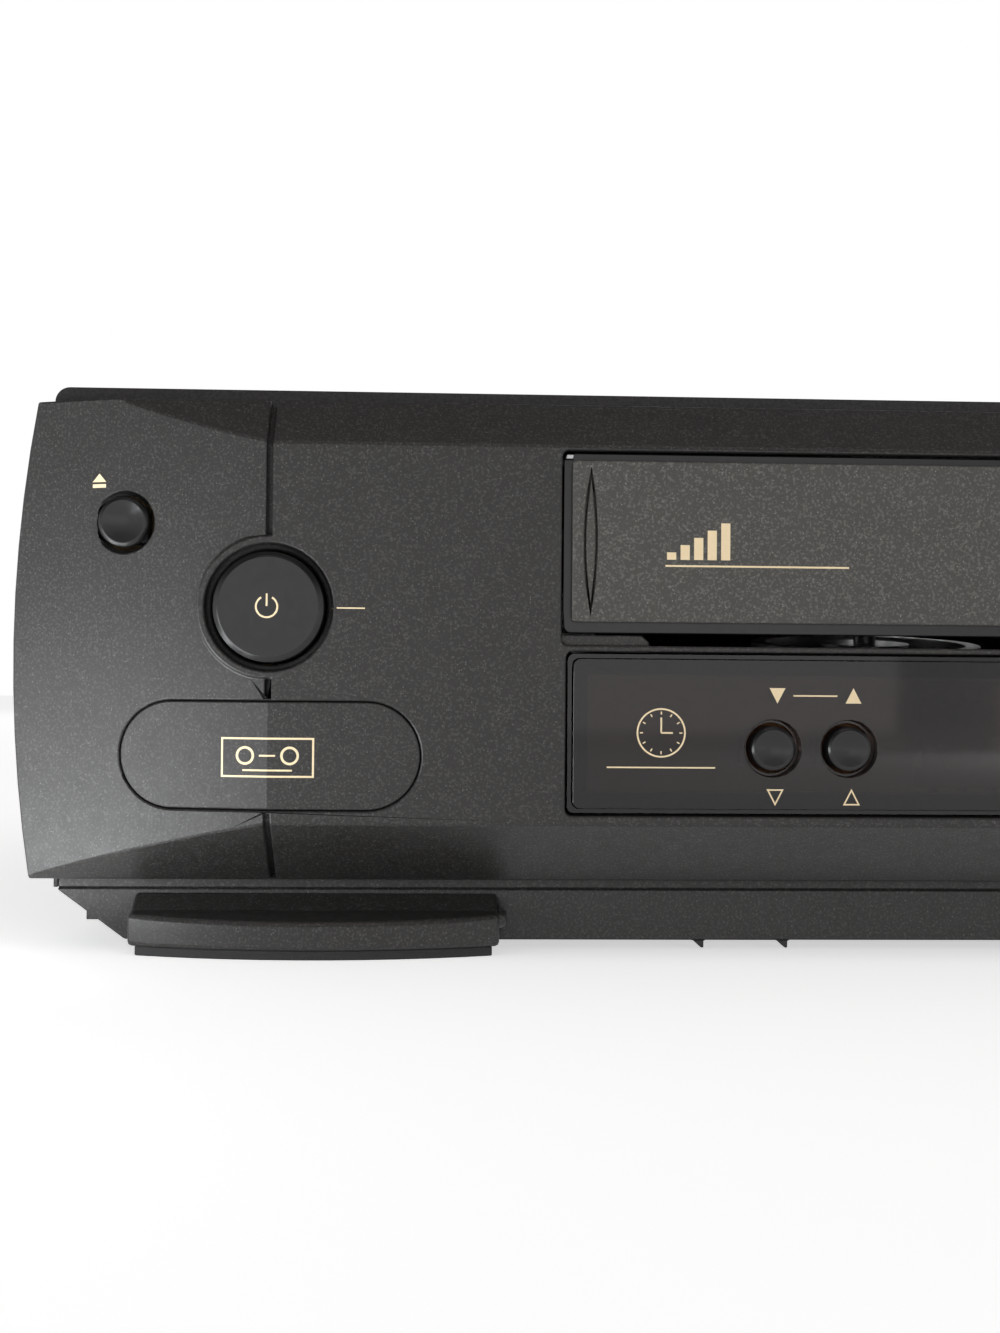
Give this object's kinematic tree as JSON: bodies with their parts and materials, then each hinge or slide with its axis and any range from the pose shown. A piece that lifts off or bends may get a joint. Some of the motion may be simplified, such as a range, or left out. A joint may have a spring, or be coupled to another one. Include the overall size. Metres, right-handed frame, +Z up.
{
  "type": "video cassette recorder",
  "caption": "Front-loading video cassette recorder: bowed charcoal bezel, flap door, smoked window, round buttons, steel cover and a tape deck with a sliding, sinking holder.",
  "frame": {"origin": "on the table, under the middle of the recorder", "axes": "+X to the right seen from the front, -Y to the front, +Z up"},
  "size_m": [0.38, 0.29, 0.0947],
  "materials": {
    "black_case": "moulded charcoal plastic with a fine metallic speckle",
    "grey_panel": "matte charcoal panel with a fine speckle",
    "gloss_black": "polished black plastic",
    "smoked_window": "smoked brown-black acrylic",
    "painted_steel": "textured black paint on steel sheet",
    "bare_steel": "zinc-plated steel",
    "machined_aluminium": "turned and polished aluminium",
    "brass_metal": "brass",
    "black_rubber": "matte rubber",
    "circuit_board": "tan phenolic board",
    "grey_acetal": "natural acetal",
    "dark_acetal": "black acetal",
    "display_glass": "display tube glass",
    "flat_cable": "white flat cable"
  },
  "bodies": {
    "cabinet": {"bottom_chassis": "black_case", "top_cover": "painted_steel", "front_bezel": "black_case", "rear_panel": "painted_steel", "display_window": "smoked_window", "badge_plate": "black_case", "front_feet": "black_case", "foot_pads": "black_rubber", "cover_screws": "gloss_black", "main_board": "circuit_board", "power_board": "circuit_board", "mains_transformer": "bare_steel", "tuner_module": "bare_steel", "av_jacks": "dark_acetal", "power_inlet": "dark_acetal", "front_board": "circuit_board", "display_tube": "display_glass", "key_switches": "dark_acetal", "deck_plate": "bare_steel", "left_side_bracket": "bare_steel", "right_side_bracket": "bare_steel", "bracket_bridge": "bare_steel", "drum_base": "machined_aluminium", "lower_drum": "machined_aluminium", "capstan_bearing": "brass_metal", "erase_head": "bare_steel", "audio_head": "bare_steel", "loading_motor": "bare_steel", "head_amplifier": "bare_steel", "reel_belt": "black_rubber", "ribbon_cable": "flat_cable"},
    "cassette_door": {"door_frame": "gloss_black", "door_panel": "grey_panel"},
    "drive_plates": {"drive_plates": "brass_metal"},
    "cassette_holder": {"cassette_holder": "bare_steel"},
    "upper_drum": {"upper_drum": "machined_aluminium"},
    "capstan": {"capstan": "bare_steel"},
    "clutch_pulley": {"clutch_pulley": "brass_metal"},
    "idler_arm": {"idler_arm": "grey_acetal"},
    "idler_wheel": {"idler_wheel": "black_rubber"},
    "pinch_arm": {"pinch_arm": "bare_steel"},
    "pinch_roller": {"pinch_roller": "black_rubber"},
    "supply_reel_table": {"supply_reel_table": "dark_acetal"},
    "take_up_reel_table": {"take_up_reel_table": "dark_acetal"},
    "supply_guide": {"supply_guide": "bare_steel"},
    "take_up_guide": {"take_up_guide": "bare_steel"},
    "tension_arm": {"tension_arm": "bare_steel"},
    "power_button": {"power_button": "gloss_black"},
    "eject_button": {"eject_button": "gloss_black"},
    "channel_down_button": {"channel_down_button": "gloss_black"},
    "channel_up_button": {"channel_up_button": "gloss_black"},
    "play_button": {"play_button": "gloss_black"},
    "rewind_button": {"rewind_button": "gloss_black"},
    "fast_forward_button": {"fast_forward_button": "gloss_black"},
    "record_button": {"record_button": "gloss_black"},
    "stop_button": {"stop_button": "gloss_black"},
    "pause_button": {"pause_button": "gloss_black"}
  },
  "joints": [
    {"name": "door_swing", "type": "hinge", "parent": "cabinet", "child": "cassette_door", "pos_m": [0, -0.1419, 0.0813], "axis": [1, 0, 0], "range_deg": [0, 98], "stiffness_Nm_per_rad": 0.02, "springref_deg": -22.92},
    {"name": "carriage_slide", "type": "slide", "parent": "cabinet", "child": "drive_plates", "axis": [0, -1, 0], "range_m": [0, 0.07]},
    {"name": "carriage_sink", "type": "slide", "parent": "drive_plates", "child": "cassette_holder", "axis": [0, 0, 1], "range_m": [-0.024, 0]},
    {"name": "drum_spin", "type": "hinge", "parent": "cabinet", "child": "upper_drum", "pos_m": [0, 0.046, 0.0255], "axis": [0, -0.1045, 0.9945], "continuous": true},
    {"name": "capstan_spin", "type": "hinge", "parent": "cabinet", "child": "capstan", "pos_m": [0.054, -0.009, 0.02], "axis": [0, 0, 1], "continuous": true},
    {"name": "clutch_spin", "type": "hinge", "parent": "cabinet", "child": "clutch_pulley", "pos_m": [0, -0.038, 0.02], "axis": [0, 0, 1], "continuous": true},
    {"name": "idler_swing", "type": "hinge", "parent": "cabinet", "child": "idler_arm", "pos_m": [0, -0.038, 0.02], "axis": [0, 0, 1], "range_deg": [-60, 60]},
    {"name": "idler_spin", "type": "hinge", "parent": "idler_arm", "child": "idler_wheel", "pos_m": [0, -0.056, 0.02], "axis": [0, 0, 1], "continuous": true},
    {"name": "pinch_swing", "type": "hinge", "parent": "cabinet", "child": "pinch_arm", "pos_m": [0.069, 0.0185, 0.02], "axis": [0, 0, 1], "range_deg": [-11.5, 0]},
    {"name": "pinch_roller_spin", "type": "hinge", "parent": "pinch_arm", "child": "pinch_roller", "pos_m": [0.06944, -0.00952, 0.02], "axis": [0, 0, 1], "continuous": true},
    {"name": "supply_reel_spin", "type": "hinge", "parent": "cabinet", "child": "supply_reel_table", "pos_m": [-0.046, -0.06, 0.02], "axis": [0, 0, 1], "continuous": true},
    {"name": "take_up_reel_spin", "type": "hinge", "parent": "cabinet", "child": "take_up_reel_table", "pos_m": [0.046, -0.06, 0.02], "axis": [0, 0, 1], "continuous": true},
    {"name": "take_up_guide_path", "type": "hinge", "parent": "cabinet", "child": "take_up_guide", "pos_m": [-0.04351, 0.04064, 0.02], "axis": [0, 0, 1], "range_deg": [0, 43.35]},
    {"name": "supply_guide_path", "type": "hinge", "parent": "cabinet", "child": "supply_guide", "pos_m": [0.04351, 0.04064, 0.02], "axis": [0, 0, 1], "range_deg": [-43.35, 0]},
    {"name": "tension_swing", "type": "hinge", "parent": "cabinet", "child": "tension_arm", "pos_m": [-0.08, 0.008, 0.02], "axis": [0, 0, 1], "range_deg": [0, 14], "stiffness_Nm_per_rad": 0.01, "springref_deg": -17.19},
    {"name": "power_press", "type": "slide", "parent": "cabinet", "child": "power_button", "axis": [0, 1, 0], "range_m": [0, 0.001], "stiffness_N_per_m": 600, "springref_m": -0.001},
    {"name": "eject_press", "type": "slide", "parent": "cabinet", "child": "eject_button", "axis": [0, 1, 0], "range_m": [0, 0.001], "stiffness_N_per_m": 400, "springref_m": -0.001},
    {"name": "channel_down_press", "type": "slide", "parent": "cabinet", "child": "channel_down_button", "axis": [0, 1, 0], "range_m": [0, 0.001], "stiffness_N_per_m": 400, "springref_m": -0.001},
    {"name": "channel_up_press", "type": "slide", "parent": "cabinet", "child": "channel_up_button", "axis": [0, 1, 0], "range_m": [0, 0.001], "stiffness_N_per_m": 400, "springref_m": -0.001},
    {"name": "play_press", "type": "slide", "parent": "cabinet", "child": "play_button", "axis": [0, 1, 0], "range_m": [0, 0.001], "stiffness_N_per_m": 600, "springref_m": -0.001},
    {"name": "rewind_press", "type": "slide", "parent": "cabinet", "child": "rewind_button", "axis": [0, 1, 0], "range_m": [0, 0.001], "stiffness_N_per_m": 400, "springref_m": -0.001},
    {"name": "fast_forward_press", "type": "slide", "parent": "cabinet", "child": "fast_forward_button", "axis": [0, 1, 0], "range_m": [0, 0.001], "stiffness_N_per_m": 400, "springref_m": -0.001},
    {"name": "record_press", "type": "slide", "parent": "cabinet", "child": "record_button", "axis": [0, 1, 0], "range_m": [0, 0.001], "stiffness_N_per_m": 400, "springref_m": -0.001},
    {"name": "stop_press", "type": "slide", "parent": "cabinet", "child": "stop_button", "axis": [0, 1, 0], "range_m": [0, 0.001], "stiffness_N_per_m": 600, "springref_m": -0.001},
    {"name": "pause_press", "type": "slide", "parent": "cabinet", "child": "pause_button", "axis": [0, 1, 0], "range_m": [0, 0.001], "stiffness_N_per_m": 600, "springref_m": -0.001}
  ],
  "couplings": [
    {"joint": "clutch_spin", "follows": "capstan_spin", "ratio": 0.6596},
    {"joint": "idler_spin", "follows": "capstan_spin", "ratio": -0.4017},
    {"joint": "supply_guide_path", "follows": "take_up_guide_path", "ratio": -1}
  ]
}
